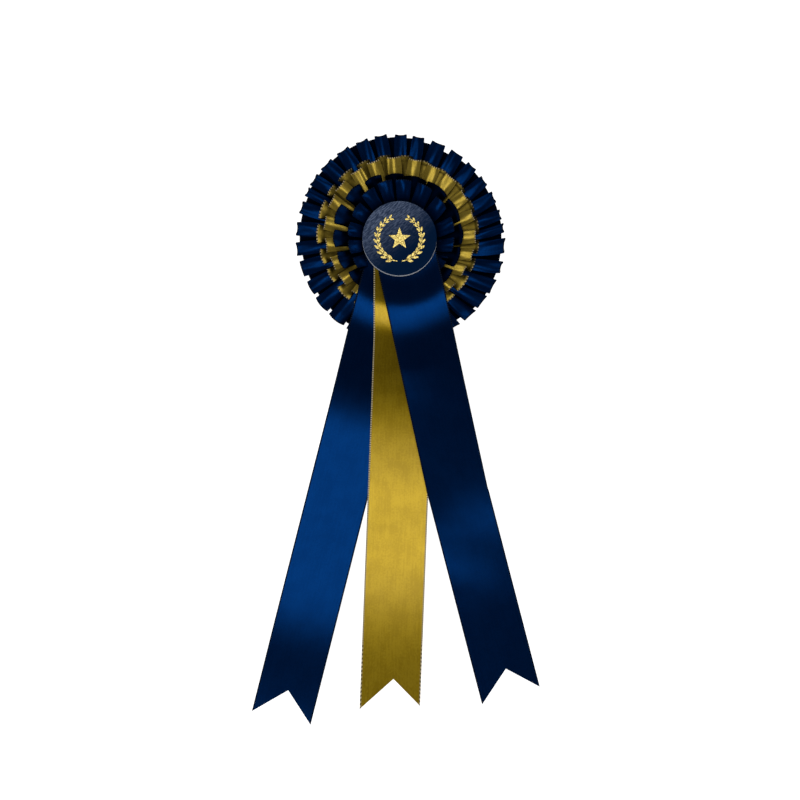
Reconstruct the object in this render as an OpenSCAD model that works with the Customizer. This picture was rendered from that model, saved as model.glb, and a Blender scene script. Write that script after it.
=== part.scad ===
// Three-tier ribbon rosette with a round centre, three swallow-tailed tails and
// a brooch bar behind. It lies face up: Z is up, +Y is the top of the rosette
// and the tails run towards -Y. The origin is behind the middle of the rosette,
// on the plane that the garment or the table touches. Angles of the pleats are
// in degrees, clockwise from the top as seen from the front.

/* [Ribbon] */
// Thickness of a cloth wall
wall = 1; // [1:0.1:1.4]
// Clearance between pieces that are stuck or stitched together
seat_gap = 0.1; // [0.05:0.05:0.2]

/* [Pleated tiers] */
// Radius of the stitched rim of the outer tier
outer_stitch_r = 41; // [40:0.5:42]
// Radius of the stitched rim of the gold tier
gold_stitch_r = 28.5; // [28:0.5:30]
// Radius of the stitched rim of the inner tier
inner_stitch_r = 18.5; // [18:0.5:20]
// Height that the folds of the stitched rim take up
stitch_h = 2.2; // [2.2:0.1:2.4]
// Clear width between two neighbouring pleats at the stitched rim
stitch_slot = 1.3; // [1.2:0.1:1.6]
// How far the folds below a face reach out from its middle, as a share of its half width
fold_share = 0.4; // [0.35:0.05:0.6]

/* [Centre] */
// Radius of the board disc in the middle
board_r = 24.1; // [23:0.1:24.5]
// Thickness of the board disc
board_t = 2; // [1.5:0.1:2.2]
// Radius of the covering on the board
cover_r = 23.8; // [22:0.1:24]
// Thickness of the covering
cover_t = 0.6; // [0.4:0.1:0.8]
// Height of the underside of the board disc
board_z = 16.6; // [16.5:0.1:16.9]

/* [Backing] */
// Radius of the backing card
card_r = 44; // [43:0.5:44]
// Thickness of the backing card
card_t = 1.2; // [1:0.1:1.2]
// Height of the back of the card above the table
card_z = 5; // [5:0.1:5.2]

/* [Brooch bar] */
// Length of the bar
bar_l = 34; // [28:1:38]
// Width of the bar
bar_w = 5; // [4:0.5:7]
// Thickness of the bar's metal
bar_t = 0.8; // [0.6:0.1:1]
// Diameter of the pin
pin_d = 1; // [0.8:0.1:1.2]
// Height of the pin's middle above the table
pin_z = 1.4; // [1.2:0.1:1.6]

/* [Tails] */
// Width of the ribbon of the tails
tail_w = 38.6; // [36:0.2:40]

/* [Hidden] */
$fn = 96;

navy = [0.02, 0.08, 0.25];
gold = [0.72, 0.58, 0.16];
steel = [0.75, 0.75, 0.77];
card = [0.88, 0.87, 0.83];

// Columns of a pleat table. LEFT and RIGHT are the edges of the face at its
// outer end. TILT lets its left edge hang when negative and its right edge when
// positive, and CROWN rounds the face up in the middle. FACE_R and BASE_R are
// the reach of the face and of the ribbon between it and the next pleat. SWEEP
// is how many degrees the stitched end is turned on from the outer end.
LEFT = 0;
RIGHT = 1;
TILT = 2;
CROWN = 3;
FACE_R = 4;
BASE_R = 5;
SWEEP = 6;

outer_pleats = [
    [-3.0, 3.4, 0.0, 0.1, 66.0, 63.9, 0],
    [7.0, 13.4, 0.0, 0.1, 65.6, 62.8, 0],
    [18.2, 26.0, 0.1, 0.1, 65.4, 61.6, 1],
    [30.2, 37.8, 0.2, 0.2, 65.4, 62.9, 1],
    [42.0, 48.0, 0.2, 0.1, 65.1, 63.3, 2],
    [52.8, 58.6, 0.4, 0.1, 65.1, 63.3, 3],
    [63.3, 69.6, 0.6, 0.0, 65.3, 64.5, 4],
    [74.2, 79.6, 0.6, 0.0, 65.7, 64.9, 5],
    [82.0, 87.0, 0.2, 0.0, 66.4, 64.6, 6],
    [90.2, 98.4, 0.0, 0.0, 67.0, 64.8, 6],
    [103.2, 109.6, 0.0, 0.0, 67.5, 65.2, 6],
    [113.8, 122.2, 0.0, 0.2, 67.5, 65.4, 6],
    [124.0, 132.4, 0.0, 0.3, 67.3, 65.0, 6],
    [134.0, 142.2, 0.0, 0.3, 67.6, 63.7, 5],
    [145.4, 153.0, 0.0, 0.3, 67.5, 64.0, 4],
    [157.0, 164.5, 0.0, 0.2, 67.5, 64.0, 3],
    [168.5, 176.0, 0.0, 0.2, 67.5, 64.0, 2],
    [180.0, 187.5, 0.0, 0.2, 67.5, 64.0, 1],
    [191.5, 198.5, 0.0, 0.2, 67.8, 64.0, 0],
    [202.5, 210.8, 0.0, 0.5, 68.3, 64.2, 0],
    [213.0, 223.2, 0.0, 1.0, 68.4, 63.7, 0],
    [224.8, 234.6, 0.0, 1.0, 68.0, 63.6, 0],
    [236.6, 244.7, 0.0, 0.8, 67.2, 63.5, 0],
    [248.0, 256.6, -0.1, 0.5, 67.1, 63.6, 0],
    [260.0, 267.2, 0.0, 0.1, 67.2, 64.5, 0],
    [271.2, 278.4, 0.0, 0.0, 66.8, 64.5, 0],
    [283.6, 290.4, 0.0, 0.0, 66.6, 64.7, 0],
    [293.6, 298.8, 0.2, 0.0, 66.8, 65.6, 0],
    [300.2, 307.2, -0.6, 0.0, 67.1, 65.9, 0],
    [310.6, 318.4, -0.7, 0.0, 67.2, 66.0, 0],
    [322.7, 330.0, -0.6, 0.0, 67.2, 65.9, 0],
    [334.7, 341.4, -0.5, 0.0, 66.8, 65.3, 0],
    [345.6, 352.2, -0.3, 0.0, 66.7, 64.5, 0]
];

gold_pleats = [
    [-10.0, 0.0, 0.0, 0.0, 51.4, 52.2, 0],
    [6.0, 15.0, 0.0, 0.1, 50.6, 51.0, 1],
    [20.7, 30.2, 0.0, 0.1, 50.3, 50.9, 2],
    [35.5, 45.5, 0.0, 0.2, 50.5, 51.0, 2],
    [52.5, 61.5, 0.0, 0.1, 49.3, 50.4, 3],
    [68.8, 76.8, 0.1, 0.1, 48.7, 50.3, 3],
    [84.8, 94.3, 0.0, 0.1, 48.4, 50.3, 4],
    [99.6, 108.4, 0.0, 0.1, 47.7, 50.2, 4],
    [113.6, 122.5, 0.1, 0.2, 46.6, 50.6, 6],
    [130.4, 139.6, 0.0, 0.3, 46.5, 51.0, 3],
    [147.5, 156.0, 0.0, 0.0, 49.0, 51.0, 2],
    [164.0, 173.0, 0.0, 0.0, 49.5, 51.0, 1],
    [180.5, 190.0, 0.0, 0.0, 49.5, 51.0, 0],
    [197.0, 205.5, 0.0, 0.0, 49.5, 51.5, 0],
    [213.0, 222.2, 0.0, 0.2, 46.7, 52.0, 0],
    [228.4, 239.0, 0.0, 0.3, 47.0, 51.7, -1],
    [243.0, 253.8, -0.1, 0.2, 47.0, 52.3, -1],
    [258.5, 268.7, -0.2, 0.1, 48.2, 53.6, -2],
    [276.0, 286.0, 0.0, 0.1, 50.4, 54.0, -2],
    [293.2, 303.0, 0.0, 0.0, 50.6, 54.4, -2],
    [305.4, 315.4, 0.0, 0.0, 51.4, 54.2, -1],
    [321.8, 331.1, -0.2, 0.0, 51.1, 53.8, -2],
    [335.3, 345.0, 0.0, 0.0, 51.5, 53.1, -1]
];

inner_pleats = [
    [-5.0, 11.0, 0.0, 0.6, 35.0, 39.6, 0],
    [18.0, 34.0, 0.2, 0.5, 35.5, 40.3, 2],
    [42.0, 58.0, 0.3, 0.8, 35.5, 40.0, 6],
    [68.5, 84.0, 0.3, 0.6, 35.5, 40.0, 8],
    [90.5, 106.0, 0.2, 0.5, 35.0, 39.6, 8],
    [113.0, 129.0, 0.1, 0.6, 34.0, 40.3, 6],
    [136.5, 152.0, 0.0, 0.1, 37.5, 40.0, 3],
    [160.0, 175.5, 0.0, 0.0, 38.0, 40.0, 0],
    [183.5, 199.0, 0.0, 0.0, 38.0, 40.0, 0],
    [206.5, 222.0, 0.0, 0.1, 37.5, 41.0, -2],
    [230.0, 246.0, -0.1, 0.8, 34.5, 42.2, -3],
    [251.0, 266.5, -0.1, 0.8, 34.5, 43.0, -3],
    [271.0, 286.5, 0.0, 0.8, 34.5, 43.8, -3],
    [293.5, 310.0, 0.1, 0.9, 35.0, 43.4, -3],
    [316.5, 332.0, 0.0, 0.7, 35.5, 42.2, -2],
    [336.5, 351.5, 0.0, 0.5, 35.0, 40.6, -1]
];

// Height tables of the tiers. RADIUS is the distance from the middle. BASE_Z and
// FACE_Z are heights of the middle of the cloth there, for the ribbon between two
// faces and for the faces. The last two are the same below the tails, which press
// the pleats down.
RADIUS = 0;
BASE_Z = 1;
FACE_Z = 2;
PRESSED_BASE_Z = 3;
PRESSED_FACE_Z = 4;

// Height of the middle of the cloth at the stitched rims, on the card
stitch_z = card_z + card_t + seat_gap + wall / 2;
fold_z = stitch_z + stitch_h;

outer_heights = [
    [outer_stitch_r, stitch_z, fold_z, stitch_z, fold_z],
    [46, stitch_z, fold_z, stitch_z, fold_z],
    [61, 0.54, 6.9, 0.54, 6.2],
    [66, 0.54, 6.0, 0.54, 5.2]
];
gold_heights = [
    [gold_stitch_r, stitch_z, fold_z, stitch_z, fold_z],
    [40.5, 10.4, 12.5, 10.4, 12.2],
    [50.5, 12.0, 16.5, 10.1, 12.3]
];
inner_heights = [
    [inner_stitch_r, stitch_z, fold_z, stitch_z, fold_z],
    [25, 9.4, 11.6, 9.3, 11.3],
    [31, 12.0, 16.2, 11.2, 13.0],
    [35, 13.3, 20.0, 12.4, 14.3],
    [38, 14.4, 20.5, 13.4, 15.6],
    [40, 15.2, 20.5, 14.0, 15.6],
    [43.8, 16.6, 20.5, 15.2, 15.6]
];

// Rings of a tier, as shares of the way from the stitched rim to the outer ends
outer_rings = [0, 0.2, 1];
gold_rings = [0, 0.52, 1];
inner_rings = [0, 0.35, 0.65, 1];

// How far beside the tails their weight is felt
press_fade = 6;
// How far down from the middle it begins to be felt
press_start = 14;

// Cloth is kept from spreading at a sharp fold beyond this share of its half thickness
fold_limit = 1.25;
// Lowest part of a hanging face edge, and how far a crowned face's corners draw in
hang_share = 0.6;
crown_drop = 0.35;
crown_draw = 1.6;
// The middle of a face's outer end lies this much nearer the centre than its corners
face_scoop = 0.5;
// Rounding of the fold at the edge of a face, as shares of its width and of its height
edge_round = 0.12;
edge_drop = 0.25;

// Height of the middle of the lowest tail: the distance from the middle of the
// rosette, then the height. It crosses the pleats, drops to the table and arches once.
tail_line = [
    [10, 12.1], [20, 12.5], [24, 12.9], [28, 13.6], [31, 14.5], [34.5, 16.1], [38, 17.7], [41, 18.3],
    [46, 18.5], [52, 18.4], [58, 18.0], [62, 17.4], [66, 16.3], [70, 14.9], [76, 12.5], [84, 9.3],
    [92, 6.5], [100, 4.2], [108, 2.5], [116, 1.4], [124, 0.8], [134, 0.6], [245, 0.6],
    [275, 1.3], [310, 3.6]
];
// Distances down from the middle at which the ribbon of a tail is cut into facets
tail_rows = [
    -3, 7, 14, 18, 22, 26, 30, 34, 38, 42, 49, 56, 61, 65, 69, 73, 78, 84, 90, 96,
    102, 109, 117, 127, 145, 165, 185, 205, 225, 248
];
// Number of strips across a tail
tail_strips = 4;
// The three tails lie over each other by this much near the middle, and each
// comes down to the same line past the place where they part
tail_layer = 1.45;
layer_from = 172;
layer_to = 225;

// Columns of the tail table: side shift at the middle of the rosette, angle from
// straight down, how far down it bends, the angle past the bend, how far down the
// left tip, the notch and the right tip are, the notch's side shift, and the layer
SHIFT = 0;
ANGLE = 1;
BEND_AT = 2;
ANGLE_2 = 3;
LEFT_TIP = 4;
NOTCH = 5;
RIGHT_TIP = 6;
NOTCH_SHIFT = 7;
LAYER = 8;
tails = [
    [1.4, -14.2, 160, -14.2, 302.8, 289.3, 311.6, 0.0, 0],
    [2.3, 0.0, 63, -2.2, 301.5, 282.0, 299.5, 1.6, 1],
    [0.9, 12.4, 160, 14.6, 298.0, 275.3, 287.2, 1.2, 2]
];

function lerp(a, b, t) = a + (b - a) * t;
function unit(v) = v / max(norm(v), 0.000001);
function clamp01(v) = min(1, max(0, v));
function smooth(v) = let (c = clamp01(v)) c * c * (3 - 2 * c);
function degrees(length, r) = length / r * 180 / PI;

// How much of the tails' weight lies on a point of the pleats, from 0 to 1
function pressed(angle, r) =
    let (
        x = r * sin(angle),
        down = -r * cos(angle),
        beside_left = tail_x(tails[0], down, -1) - x,
        beside_right = x - tail_x(tails[2], down, 1)
    )
    smooth(down / press_start) * (1 - smooth(max(beside_left, beside_right) / press_fade));

// A pleat is pressed as a whole, by the weight on the more covered edge of its face
function pleat_press(row) =
    max([for (edge = [LEFT, RIGHT], share = [0.75, 1]) pressed(row[edge], share * row[FACE_R])]);

// The height at a radius of a face or of the ribbon between two faces
function column_z(heights, column, r) = lookup(r, [for (h = heights) [h[RADIUS], h[column]]]);
function base_z(heights, r, press) =
    lerp(column_z(heights, BASE_Z, r), column_z(heights, PRESSED_BASE_Z, r), press);
function face_z(heights, r, press) =
    lerp(column_z(heights, FACE_Z, r), column_z(heights, PRESSED_FACE_Z, r), press);

// The points of one pleat on the ring at t, which is 0 at the stitched rim and 1
// at the outer end. A point is [angle, radius, height of the middle of the cloth].
function pleat(rows, i, t, stitch_r, heights) =
    let (
        n = len(rows),
        row = rows[i],
        before = rows[(i + n - 1) % n],
        after = rows[(i + 1) % n],
        before_right = before[RIGHT] - (i == 0 ? 360 : 0),
        after_left = after[LEFT] + (i == n - 1 ? 360 : 0),
        slot = degrees(stitch_slot / 2, stitch_r),
        seam_left = (before_right + row[LEFT]) / 2 + (before[SWEEP] + row[SWEEP]) / 2,
        seam_right = (row[RIGHT] + after_left) / 2 + (after[SWEEP] + row[SWEEP]) / 2,
        left = lerp(seam_left + slot, row[LEFT], t),
        right = lerp(seam_right - slot, row[RIGHT], t),
        between = lerp(seam_right, (row[RIGHT] + after_left) / 2, t),
        mid = (left + right) / 2,
        half = (right - left) / 2,
        fold_left = mid - fold_share * half,
        fold_right = mid + fold_share * half,
        face_r = lerp(stitch_r, row[FACE_R], t),
        left_r = lerp(stitch_r, before[BASE_R], t),
        right_r = lerp(stitch_r, row[BASE_R], t),
        press = pleat_press(row),
        top_z = face_z(heights, face_r, press),
        rise = top_z - base_z(heights, face_r, press),
        hang_left = hang_share * rise * max(0, -row[TILT]) * t,
        hang_right = hang_share * rise * max(0, row[TILT]) * t,
        drop = crown_drop * rise * row[CROWN] * t,
        draw = crown_draw * row[CROWN] * t,
        round = edge_round * half
    )
    [
        [fold_left, left_r, base_z(heights, left_r, press)],
        [left, face_r - draw, top_z - drop - hang_left - edge_drop * rise],
        [left + round, face_r - draw / 2, top_z - drop / 2 - hang_left],
        [mid, face_r - face_scoop * t, top_z - (hang_left + hang_right) / 3],
        [right - round, face_r - draw / 2, top_z - drop / 2 - hang_right],
        [right, face_r - draw, top_z - drop - hang_right - edge_drop * rise],
        [fold_right, right_r, base_z(heights, right_r, press)],
        [between, right_r, base_z(heights, right_r, max(press, pleat_press(after)))]
    ];

function ring(rows, t, stitch_r, heights) = [
    for (i = [0:len(rows) - 1]) each pleat(rows, i, t, stitch_r, heights)
];

// One side of the cloth, half a thickness off the middle, as points in space
function cloth_side(points, side, half_wall) =
    let (n = len(points))
    [
        for (k = [0:n - 1])
            let (
                p = points[k],
                a = points[(k + n - 1) % n] - (k == 0 ? [360, 0, 0] : [0, 0, 0]),
                b = points[(k + 1) % n] + (k == n - 1 ? [360, 0, 0] : [0, 0, 0]),
                from_a = unit([(p[0] - a[0]) * PI / 180 * (p[1] + a[1]) / 2, p[2] - a[2]]),
                to_b = unit([(b[0] - p[0]) * PI / 180 * (b[1] + p[1]) / 2, b[2] - p[2]]),
                across = unit([-from_a[1] - to_b[1], from_a[0] + to_b[0]]),
                spread = min(fold_limit, 1 / max(0.1, across * [-from_a[1], from_a[0]])),
                angle = p[0] + degrees(side * half_wall * spread * across[0], p[1])
            )
            [p[1] * sin(angle), p[1] * cos(angle), p[2] + side * half_wall * spread * across[1]]
    ];

// Triangles between two rows of points, each closed round on itself
function band(first, second, n) = [
    for (k = [0:n - 1])
        let (m = (k + 1) % n)
        each [
            [first + k, second + k, second + m],
            [first + k, second + m, first + m]
        ]
];

// A ribbon folded into box pleats and stitched round into a ring
module tier(rows, stitch_r, heights, shares, steepness) {
    half_wall = wall / 2 / cos(steepness);
    rings = [for (t = shares) ring(rows, t, stitch_r, heights)];
    ring_steps = len(shares) - 1;
    n = len(rings[0]);
    upper = [for (j = [0:ring_steps]) each cloth_side(rings[j], 1, half_wall)];
    lower = [for (j = [0:ring_steps]) each cloth_side(rings[j], -1, half_wall)];
    below = n * (ring_steps + 1);
    outer = n * ring_steps;
    polyhedron(
        points = concat(upper, lower),
        faces = concat(
            [for (j = [0:ring_steps - 1]) each band(j * n, (j + 1) * n, n)],
            [for (j = [0:ring_steps - 1]) each band(below + (j + 1) * n, below + j * n, n)],
            band(below, 0, n),
            band(outer, below + outer, n)
        ),
        convexity = 10
    );
}

// Where a tail's left edge, middle or right edge is, some way down from the middle
function tail_x(tail, down, side) =
    let (
        first = min(down, tail[BEND_AT]),
        second = max(0, down - tail[BEND_AT]),
        angle = down > tail[BEND_AT] ? tail[ANGLE_2] : tail[ANGLE]
    )
    tail[SHIFT] + first * tan(tail[ANGLE]) + second * tan(tail[ANGLE_2]) + side * tail_w / 2 / cos(angle);

function tail_z(tail, x, down) =
    lookup(norm([x, down]), tail_line)
    + tail_layer * tail[LAYER] * (1 - smooth((down - layer_from) / (layer_to - layer_from)));

function tail_point(tail, down, side, shift = 0) =
    let (x = tail_x(tail, down, side) + shift)
    [x, -down, tail_z(tail, x, down)];

// How far down the cut end of a tail is: it runs straight from each tip to the notch
function tail_end(tail, side) = lookup(side, [[-1, tail[LEFT_TIP]], [0, tail[NOTCH]], [1, tail[RIGHT_TIP]]]);

// A ribbon that ends in a swallow's tail
module tail_ribbon(tail) {
    across = tail_strips + 1;
    sides = [for (c = [0:tail_strips]) 2 * c / tail_strips - 1];
    steps = len(tail_rows);
    middle = concat(
        [for (down = tail_rows, side = sides) tail_point(tail, down, side)],
        [for (side = sides) tail_point(tail, tail_end(tail, side), side, tail[NOTCH_SHIFT] * (1 - abs(side)))]
    );
    thick = [0, 0, wall / 2];
    upper = [for (p = middle) p + thick];
    lower = [for (p = middle) p - thick];
    below = len(middle);
    last = across * steps;
    cells = [for (j = [0:steps - 1], c = [1:tail_strips]) across * j + c - 1];
    polyhedron(
        points = concat(upper, lower),
        faces = concat(
            [for (p = cells) each ribbon_cell(p, across, 1)],
            [for (p = cells) each ribbon_cell(below + p, 1, across)],
            [for (j = [0:steps - 1]) each side_cell(across * j, across * (j + 1), below)],
            [for (j = [1:steps]) each side_cell(across * (j + 1) - 1, across * j - 1, below)],
            [for (c = [1:tail_strips]) each side_cell(c, c - 1, below)],
            [for (c = [1:tail_strips]) each side_cell(last + c - 1, last + c, below)]
        ),
        convexity = 6
    );
}

function ribbon_cell(p, across, down) = [
    [p + across, p, p + down],
    [p + across, p + down, p + across + down]
];
function side_cell(p, q, below) = [
    [p, q, below + q],
    [p, below + q, below + p]
];

module outer_tier() {
    color(navy)
        tier(outer_pleats, outer_stitch_r, outer_heights, outer_rings, 8);
}

module gold_tier() {
    color(gold)
        tier(gold_pleats, gold_stitch_r, gold_heights, gold_rings, 18);
}

module inner_tier() {
    color(navy)
        tier(inner_pleats, inner_stitch_r, inner_heights, inner_rings, 28);
}

module tail_left() {
    color(navy)
        tail_ribbon(tails[0]);
}

module tail_gold() {
    color(gold)
        tail_ribbon(tails[1]);
}

module tail_right() {
    color(navy)
        tail_ribbon(tails[2]);
}

module centre_board() {
    color(card)
        translate([0, 0, board_z])
            cylinder(h = board_t, r = board_r);
}

module centre_cover() {
    color(navy)
        translate([0, board_r - cover_r, board_z + board_t + seat_gap / 2])
            cylinder(h = cover_t, r = cover_r);
}

module backing_card() {
    color(card)
        translate([0, 0, card_z])
            cylinder(h = card_t, r = card_r);
}

// The bar with its knuckle, pin and catch, all in one plain piece
module brooch_bar() {
    bar_z = card_z - seat_gap - bar_t;
    end_x = (bar_l - bar_w) / 2;
    post_w = 2;
    post_d = 3.2;
    post_z = 0.1;
    post_h = bar_z + bar_t / 2 - post_z;
    color(steel) {
        translate([0, 0, bar_z])
            linear_extrude(bar_t) {
                square([2 * end_x, bar_w], center = true);
                for (side = [-1, 1])
                    translate([side * end_x, 0])
                        circle(d = bar_w);
            }
        for (side = [-1, 1])
            translate([side * end_x, 0, post_z + post_h / 2])
                cube([post_w, post_d, post_h], center = true);
        translate([0, 0, pin_z])
            rotate([0, 90, 0])
                cylinder(h = 2 * end_x, d = pin_d, center = true);
    }
}

brooch_bar();
backing_card();
outer_tier();
gold_tier();
inner_tier();
tail_left();
tail_gold();
tail_right();
centre_board();
centre_cover();
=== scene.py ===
# %% [markdown]
# # A ribbon rosette in Blender
#
# An award rosette is a badge made of satin ribbon. Three rings of ribbon are folded
# into box pleats and stitched round, each on top of a larger one. A covered disc sits
# in the middle, three long tails hang from under it, and a card with a brooch bar
# closes the back. This lesson builds it face up on a table, one cell at a time.
#
# The construction model is loaded first. It gives the real size of every piece, and
# the pieces made here take the places of its plain solids.

# %% Load the construction model
import math

import bpy
import numpy as np
from mathutils import Matrix, Vector


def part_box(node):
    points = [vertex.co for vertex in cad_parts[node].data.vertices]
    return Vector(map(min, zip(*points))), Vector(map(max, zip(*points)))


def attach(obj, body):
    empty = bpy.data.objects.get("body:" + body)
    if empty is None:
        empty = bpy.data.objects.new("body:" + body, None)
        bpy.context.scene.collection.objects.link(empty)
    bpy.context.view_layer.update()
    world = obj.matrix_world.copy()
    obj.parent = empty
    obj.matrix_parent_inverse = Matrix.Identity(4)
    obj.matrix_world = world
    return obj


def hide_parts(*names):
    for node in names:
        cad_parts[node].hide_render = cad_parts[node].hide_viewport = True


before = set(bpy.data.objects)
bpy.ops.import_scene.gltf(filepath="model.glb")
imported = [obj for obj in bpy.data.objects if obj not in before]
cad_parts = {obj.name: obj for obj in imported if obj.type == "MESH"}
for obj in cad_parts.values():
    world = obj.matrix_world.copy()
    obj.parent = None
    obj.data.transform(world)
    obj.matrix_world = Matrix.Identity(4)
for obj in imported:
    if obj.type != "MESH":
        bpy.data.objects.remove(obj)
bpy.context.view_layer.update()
MM = 0.001
print("pieces of the construction model:", sorted(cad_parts))

# %% [markdown]
# ## Hand tools
#
# Blender's operators act on whatever is selected, so each of these little helpers
# first makes the selection that it needs. A modifier is applied as soon as it is set,
# so that a finished piece is a plain mesh.

# %% Selecting and applying
def deselect_all():
    bpy.ops.object.select_all(action="DESELECT")


def select_only(*pieces):
    deselect_all()
    for piece in pieces:
        piece.select_set(True)
    bpy.context.view_layer.objects.active = pieces[0]


def apply_modifier(piece, kind, **settings):
    select_only(piece)
    modifier = piece.modifiers.new(kind.title(), kind)
    for name, value in settings.items():
        setattr(modifier, name, value)
    bpy.ops.object.modifier_apply(modifier=modifier.name)


def place_in_mesh(piece):
    """Moves a piece's place, turn and scale from its object into its mesh."""
    select_only(piece)
    bpy.ops.object.transform_apply(location=True, rotation=True, scale=True)


def triangles(piece):
    piece.data.calc_loop_triangles()
    return len(piece.data.loop_triangles)


def finish_piece(piece, material, slot, *nodes, angle=40):
    """Gives a piece its finish and smooth shading, hangs it under the root and hides the construction
    pieces that it replaces.
    """
    piece.data.materials.clear()
    piece.data.materials.append(material)
    select_only(piece)
    bpy.ops.object.shade_smooth_by_angle(angle=math.radians(angle))
    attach(piece, "root")
    if nodes:
        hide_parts(*nodes)
    print(piece.name, "has", triangles(piece), "triangles")


deselect_all()

# %% [markdown]
# ## Writing a material as sums
#
# A material is a net of nodes. Wrapping a socket in a small Python class lets the
# pattern be written as arithmetic: `wave * 0.5 + 0.5` adds its two Math nodes by
# itself. Every other kind of node comes from one method. It finds a socket by its
# number, its name or its identifier, because a Mix node has several sockets of one
# name. The same class also writes the room's light, which is a net of nodes as well.

# %% A socket that can be added and multiplied
class Value:
    """The output of a node, with Python's arithmetic on it."""

    def __init__(self, finish, socket):
        self.finish = finish
        self.socket = socket

    def math(self, operation, *others):
        return self.finish.add("ShaderNodeMath", {"operation": operation}, self, *others)

    def __add__(self, other):
        return self.math("ADD", other)

    def __mul__(self, other):
        return self.math("MULTIPLY", other)

    def __sub__(self, other):
        return self.math("SUBTRACT", other)

    def __rsub__(self, other):
        return self * -1 + other

    def sine(self):
        return self.math("SINE")

    def size(self):
        return self.math("ABSOLUTE")

    def ramp(self, low, high):
        """0 below low, 1 above high and a smooth step between them."""
        settings = {"interpolation_type": "SMOOTHSTEP"}
        return self.finish.add("ShaderNodeMapRange", settings, self, low, high)


# %% A net of nodes
def find_socket(sockets, key):
    if isinstance(key, int):
        return sockets[key]
    return next(s for s in sockets if key in (s.identifier, s.name.replace(" ", "_")))


class Finish:
    """A material or a world, and the one method that adds a node to it."""

    def __init__(self, name, kind="materials", shader="Principled BSDF"):
        self.owner = getattr(bpy.data, kind).new(name)
        self.owner.use_nodes = True
        self.tree = self.owner.node_tree
        self.shader = self.tree.nodes[shader]

    def add(self, kind, settings=None, *inputs, output=0, **named):
        node = self.tree.nodes.new(kind)
        for name, value in (settings or {}).items():
            setattr(node, name, value)
        for key, value in list(enumerate(inputs)) + list(named.items()):
            self.put(find_socket(node.inputs, key), value)
        return Value(self, find_socket(node.outputs, output))

    def put(self, socket, value):
        if isinstance(value, Value):
            self.tree.links.new(value.socket, socket)
        else:
            socket.default_value = value

    def set(self, **values):
        for name, value in values.items():
            self.put(find_socket(self.shader.inputs, name), value)

    def noise(self, place, scale, detail, **more):
        return self.add("ShaderNodeTexNoise", None, place, Scale=scale, Detail=detail, **more)

    def place_on_object(self):
        return self.add("ShaderNodeTexCoord", output="Object")

    def part_of(self, vector, letter):
        return self.add("ShaderNodeSeparateXYZ", None, vector, output=letter)

    def blend(self, factor, first, second):
        """A colour between two colours."""
        colours = {"Factor_Float": factor, "A_Color": first, "B_Color": second}
        return self.add("ShaderNodeMix", {"data_type": "RGBA"}, output="Result_Color", **colours)

    def bump(self, height, distance, strength=1.0):
        settings = {"Height": height, "Distance": distance, "Strength": strength}
        self.set(Normal=self.add("ShaderNodeBump", **settings))


def rgb(*screen):
    """A colour from its red, green and blue on a screen, each from 0 to 255."""
    shares = [value / 255 for value in screen]
    return (*(s / 12.92 if s < 0.04 else ((s + 0.055) / 1.055) ** 2.4 for s in shares), 1.0)


# %% [markdown]
# ## Satin ribbon
#
# Satin shines because its long warp threads float on the surface, all along the
# ribbon. Its gloss takes the thread's own colour, so the shader is partly metallic,
# and the threads spread the gloss sideways, which is what Anisotropic does. Seen at a
# low angle a metal turns white, which dyed threads do not, so Specular Tint keeps the
# gloss coloured there. Only the gold tail has a weak colourless Coat as well, since
# its level stretch shines paler than its dye.
#
# The weave is a fine bump, and the colour varies a little in streaks along the
# threads, in broad clouds and in a fine grain. Both edges of the ribbon carry a
# selvedge, where the weft turns round in tiny loops, and the gaps between the loops
# are darkened almost to black as a painted shadow. The pattern has to follow the
# cloth, so it reads the cloth's own UV map, whose U runs along the ribbon and V across
# it, both in metres. Deep in a fold hardly any light gets in, so each point of the
# cloth also carries a value named fold_light, which darkens the colour there.

# %% The satin finish
THREAD_PITCH, WEFT_PITCH = 0.32 * MM, 0.55 * MM
THREAD_RISE, WEFT_RISE, LOOP_RISE, WEAVE_DEPTH = 0.5, 0.35, 6, 0.006 * MM
THREAD_WANDER, WEFT_WANDER = 3, 4
STREAK_SCALE, BROAD_SCALE, GRAIN_SCALE = (60, 900, 1), 90.0, 900.0
STREAK_SHARE, BROAD_SHARE, GRAIN_SHARE = 0.3, 0.35, 0.35
LOOP_PITCH, SELVEDGE = 1.45 * MM, 0.8 * MM
# The first number darkens the gaps between the selvedge's loops, a painted shadow.
LOOP_GAP_SHADOW, SELVEDGE_ROUGHNESS, COAT_ROUGHNESS = 0.08, 0.6, 0.2
QUARTER_TURN = 0.25
FULL_TURN = 2 * math.pi
BLACK, WHITE = (0, 0, 0, 1), (1, 1, 1, 1)


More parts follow.
